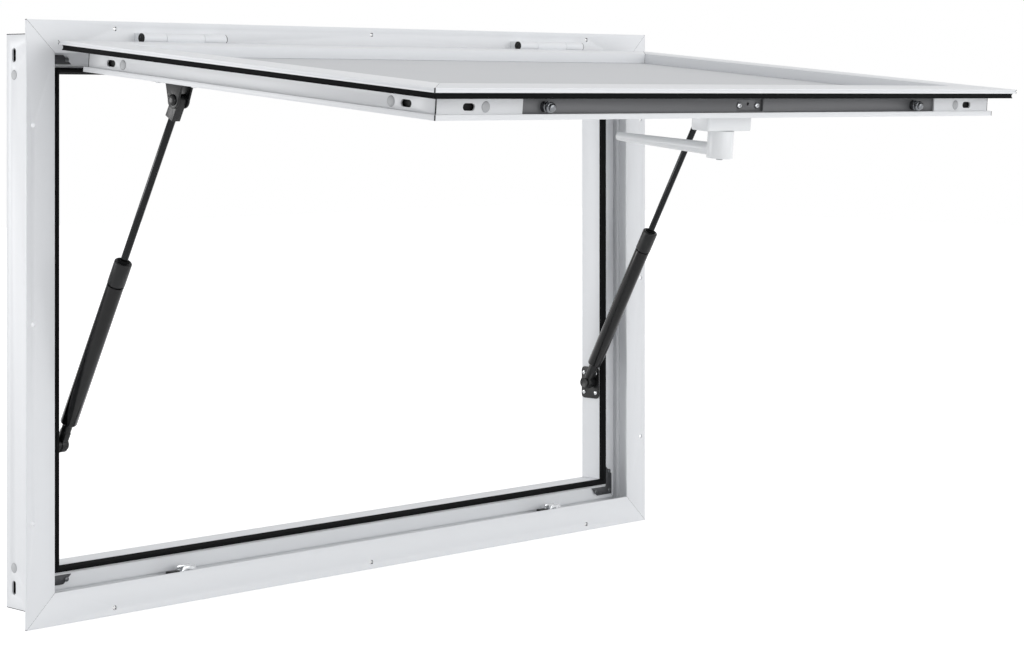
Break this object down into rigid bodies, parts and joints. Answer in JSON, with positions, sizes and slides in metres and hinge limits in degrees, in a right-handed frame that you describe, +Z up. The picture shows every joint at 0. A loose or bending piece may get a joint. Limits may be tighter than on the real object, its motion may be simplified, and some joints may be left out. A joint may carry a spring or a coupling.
{
  "type": "concession window",
  "caption": "Flanged aluminium window frame with a solid top-hung serving leaf on two gas struts, a turn handle and a sliding lock bar.",
  "frame": {"origin": "on the back face of the flange, at the middle of the sill, 12.5 mm above the flange's lower edge; that face lies against the outside of the wall", "axes": "+X along the window to the right as seen from outside, +Y into the wall, +Z up"},
  "size_m": [0.943, 0.6675, 0.639],
  "materials": {
    "white_coat": "white powder coat on aluminium extrusions",
    "panel_coat": "smooth white plastic sheet on the foam core of the sandwich panel",
    "handle_coat": "white satin coat on die-cast zinc",
    "black_rubber": "matt black foam rubber",
    "dark_zinc": "dark passivated zinc plate",
    "grey_plastic": "light grey moulded plastic",
    "black_plastic": "black moulded plastic",
    "bright_steel": "bright plated steel",
    "dark_steel": "dark oiled steel",
    "zinc_steel": "zinc-plated steel, grey",
    "black_steel": "black satin coat on steel",
    "rod_steel": "dark nitrided piston rod",
    "black_tube": "black satin enamel on the pressure tube"
  },
  "bodies": {
    "frame": {"frame_head": "white_coat", "frame_sill": "white_coat", "frame_jamb_left": "white_coat", "frame_jamb_right": "white_coat", "frame_seal": "black_rubber", "corner_plates": "dark_zinc", "frame_plugs": "grey_plastic", "keeper_left": "bright_steel", "keeper_right": "bright_steel", "keeper_guides": "black_plastic", "hinge_plate_left": "white_coat", "hinge_plate_right": "white_coat", "hinge_pin_left": "dark_steel", "hinge_pin_right": "dark_steel", "strut_jamb_bracket_left": "black_steel", "strut_jamb_bracket_right": "black_steel"},
    "leaf": {"leaf_rail_top": "white_coat", "leaf_rail_bottom": "white_coat", "leaf_rail_left": "white_coat", "leaf_rail_right": "white_coat", "leaf_panel": "panel_coat", "leaf_seal": "black_rubber", "leaf_plugs": "grey_plastic", "hinge_knuckle_left": "white_coat", "hinge_knuckle_right": "white_coat", "strut_leaf_bracket_left": "black_steel", "strut_leaf_bracket_right": "black_steel", "strut_top_pins": "black_steel", "handle_base": "handle_coat"},
    "handle": {"handle_lever": "handle_coat", "handle_cap": "grey_plastic"},
    "lock": {"lock_bar": "zinc_steel", "lock_studs": "bright_steel", "drive_plate": "zinc_steel"},
    "rod_left": {"strut_rod_left": "rod_steel", "strut_rod_end_left": "black_steel"},
    "rod_right": {"strut_rod_right": "rod_steel", "strut_rod_end_right": "black_steel"},
    "tube_left": {"strut_tube_left": "black_tube", "strut_cap_left": "black_plastic", "strut_eye_left": "black_steel"},
    "tube_right": {"strut_tube_right": "black_tube", "strut_cap_right": "black_plastic", "strut_eye_right": "black_steel"}
  },
  "joints": [
    {"name": "leaf_hinge", "type": "hinge", "parent": "frame", "child": "leaf", "pos_m": [0, -0.0164, 0.6087], "axis": [1, 0, 0], "range_deg": [0, 85]},
    {"name": "handle_turn", "type": "hinge", "parent": "leaf", "child": "handle", "pos_m": [0, -0.55311, 0.51085], "axis": [0, 0.0872, -0.9962], "range_deg": [0, 90]},
    {"name": "lock_slide", "type": "slide", "parent": "leaf", "child": "lock", "axis": [1, 0, 0], "range_m": [0, 0.022]},
    {"name": "strut_pivot_left", "type": "hinge", "parent": "leaf", "child": "rod_left", "pos_m": [-0.4025, -0.17288, 0.54201], "axis": [1, 0, 0], "range_deg": [-114.37, 0]},
    {"name": "strut_slide_left", "type": "slide", "parent": "rod_left", "child": "tube_left", "axis": [0, -0.4938, 0.8696], "range_m": [0, 0.15059]},
    {"name": "strut_pivot_right", "type": "hinge", "parent": "leaf", "child": "rod_right", "pos_m": [0.4025, -0.17288, 0.54201], "axis": [1, 0, 0], "range_deg": [-114.37, 0]},
    {"name": "strut_slide_right", "type": "slide", "parent": "rod_right", "child": "tube_right", "axis": [0, -0.4938, 0.8696], "range_m": [0, 0.15059]}
  ],
  "couplings": [
    {"joint": "lock_slide", "follows": "handle_turn", "m_per_rad": 0.014005},
    {"joint": "strut_pivot_left", "follows": "leaf_hinge", "ratio": -1.3454},
    {"joint": "strut_slide_left", "follows": "leaf_hinge", "m_per_rad": 0.10149},
    {"joint": "strut_pivot_right", "follows": "leaf_hinge", "ratio": -1.3454},
    {"joint": "strut_slide_right", "follows": "leaf_hinge", "m_per_rad": 0.10149}
  ]
}
